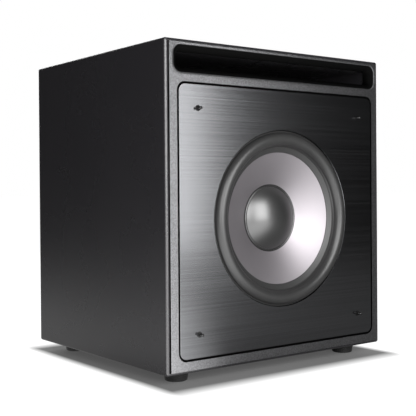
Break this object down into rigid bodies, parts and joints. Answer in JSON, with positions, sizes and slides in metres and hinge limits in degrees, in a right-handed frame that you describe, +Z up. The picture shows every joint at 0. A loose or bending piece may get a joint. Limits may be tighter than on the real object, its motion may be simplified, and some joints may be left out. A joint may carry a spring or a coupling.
{
  "type": "subwoofer",
  "caption": "Free-standing passive subwoofer: boxed cabinet on rubber feet, front port slot above a brushed faceplate, 12-inch driver, rear binding posts.",
  "frame": {"origin": "on the floor, in the middle of the footprint with the grille pins included", "axes": "+Z up, -Y out of the front where the driver is, +X to the right seen from the front"},
  "size_m": [0.474, 0.438, 0.533],
  "materials": {
    "cabinet_finish": "black textured satin over wood-fibre board",
    "port_paint": "matt black paint on board",
    "raw_board": "bare wood-fibre board",
    "damping_felt": "loose polyester felt",
    "brushed_black": "black anodised, brushed across",
    "pin_plastic": "satin moulded",
    "cast_frame": "black powder coat on a casting",
    "foam_gasket": "closed-cell foam",
    "black_screw": "black oxide",
    "zinc_steel": "zinc plated",
    "surround_rubber": "smooth satin butyl",
    "cone_metal": "satin anodised",
    "cap_gloss": "satin-gloss dark coating",
    "former_metal": "thin foil",
    "copper_wire": "lacquered copper",
    "spider_cloth": "resin-treated cloth",
    "plated_steel": "zinc plated",
    "ferrite": "sintered ferrite",
    "bare_aluminium": "machined",
    "boot_rubber": "moulded rubber",
    "fibre_board": "phenolic paper",
    "tinned_brass": "tinned",
    "cup_plastic": "fine-grained moulding",
    "gold_brass": "gold plated",
    "red_cap": "moulded",
    "black_cap": "moulded",
    "red_lead": "PVC insulation",
    "black_lead": "PVC insulation",
    "foot_rubber": "smooth moulded rubber"
  },
  "bodies": {
    "cabinet": {"baffle_stiffener": "raw_board", "bottom_panel": "cabinet_finish", "driver_basket": "cast_frame", "driver_gasket": "foam_gasket", "driver_screws": "black_screw", "driver_tags": "tinned_brass", "faceplate": "brushed_black", "foot_front_left": "foot_rubber", "foot_front_right": "foot_rubber", "foot_rear_left": "foot_rubber", "foot_rear_right": "foot_rubber", "foot_screws": "zinc_steel", "foot_washers": "zinc_steel", "front_baffle": "cabinet_finish", "grille_pin_sockets": "pin_plastic", "grille_pins": "pin_plastic", "left_lining": "damping_felt", "left_side_panel": "cabinet_finish", "magnet_boot": "boot_rubber", "negative_collars": "cup_plastic", "negative_connectors": "black_lead", "negative_lead": "black_lead", "negative_stud": "gold_brass", "port_shelf": "port_paint", "positive_collars": "cup_plastic", "positive_connectors": "red_lead", "positive_lead": "red_lead", "positive_stud": "gold_brass", "post_nuts": "tinned_brass", "post_tags": "tinned_brass", "rear_lining": "damping_felt", "rear_panel": "cabinet_finish", "right_lining": "damping_felt", "right_side_panel": "cabinet_finish", "ring_magnet": "ferrite", "shorting_ring": "bare_aluminium", "spider": "spider_cloth", "surround": "surround_rubber", "tag_board": "fibre_board", "terminal_cup": "cup_plastic", "terminal_cup_screws": "black_screw", "terminal_gasket": "foam_gasket", "threaded_inserts": "zinc_steel", "tinsel_leads": "copper_wire", "top_panel": "cabinet_finish", "top_plate": "plated_steel", "window_brace": "raw_board", "yoke": "plated_steel"},
    "cone_assembly": {"cone": "cone_metal", "dust_cap": "cap_gloss", "voice_coil_former": "former_metal", "voice_coil": "copper_wire"},
    "positive_clamp": {"positive_clamp_washer": "gold_brass"},
    "positive_cap": {"positive_knob": "red_cap", "positive_cap_insert": "gold_brass"},
    "negative_clamp": {"negative_clamp_washer": "gold_brass"},
    "negative_cap": {"negative_knob": "black_cap", "negative_cap_insert": "gold_brass"}
  },
  "joints": [
    {"name": "cone_travel", "type": "slide", "parent": "cabinet", "child": "cone_assembly", "axis": [0, -1, 0], "range_m": [-0.012, 0.012], "stiffness_N_per_m": 4000, "deforming": ["surround", "spider", "tinsel_leads"]},
    {"name": "positive_clamp_slide", "type": "slide", "parent": "cabinet", "child": "positive_clamp", "axis": [0, 1, 0], "range_m": [0, 0.0045]},
    {"name": "positive_cap_turn", "type": "hinge", "parent": "positive_clamp", "child": "positive_cap", "pos_m": [0.0095, 0.198, 0.14], "axis": [0, 1, 0], "range_deg": [0, 1620]},
    {"name": "negative_clamp_slide", "type": "slide", "parent": "cabinet", "child": "negative_clamp", "axis": [0, 1, 0], "range_m": [0, 0.0045]},
    {"name": "negative_cap_turn", "type": "hinge", "parent": "negative_clamp", "child": "negative_cap", "pos_m": [-0.0095, 0.198, 0.14], "axis": [0, 1, 0], "range_deg": [0, 1620]}
  ],
  "couplings": [
    {"joint": "positive_cap_turn", "follows": "positive_clamp_slide", "rad_per_m": 6283.2},
    {"joint": "negative_cap_turn", "follows": "negative_clamp_slide", "rad_per_m": 6283.2}
  ]
}
